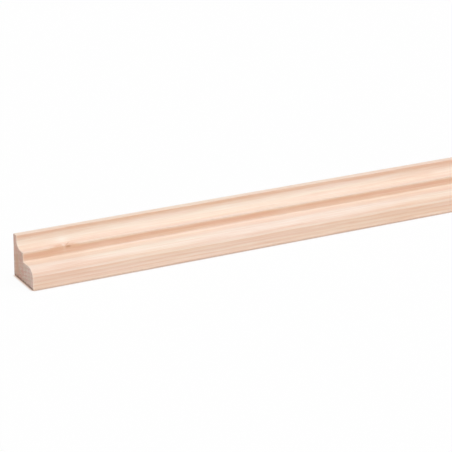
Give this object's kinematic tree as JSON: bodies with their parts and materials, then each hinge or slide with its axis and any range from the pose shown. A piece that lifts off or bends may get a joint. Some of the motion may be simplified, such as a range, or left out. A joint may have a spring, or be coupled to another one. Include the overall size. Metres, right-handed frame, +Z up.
{
  "type": "cornice moulding",
  "caption": "Straight length of planed softwood cornice moulding with a flat back and base, and a front of a cove, a step and a rounded ovolo, for trimming a wall and ceiling corner.",
  "frame": {"origin": "middle of the base, on the surface the moulding lies on", "axes": "+X along the length, +Y towards the flat back face, +Z up from the base; the profiled front faces -Y"},
  "size_m": [2.4, 0.035, 0.033],
  "materials": {
    "planed_softwood": "bare planed softwood, straight pale pink-cream grain with fine darker growth lines"
  },
  "bodies": {
    "root": {"cornice_moulding": "planed_softwood"}
  },
  "joints": []
}
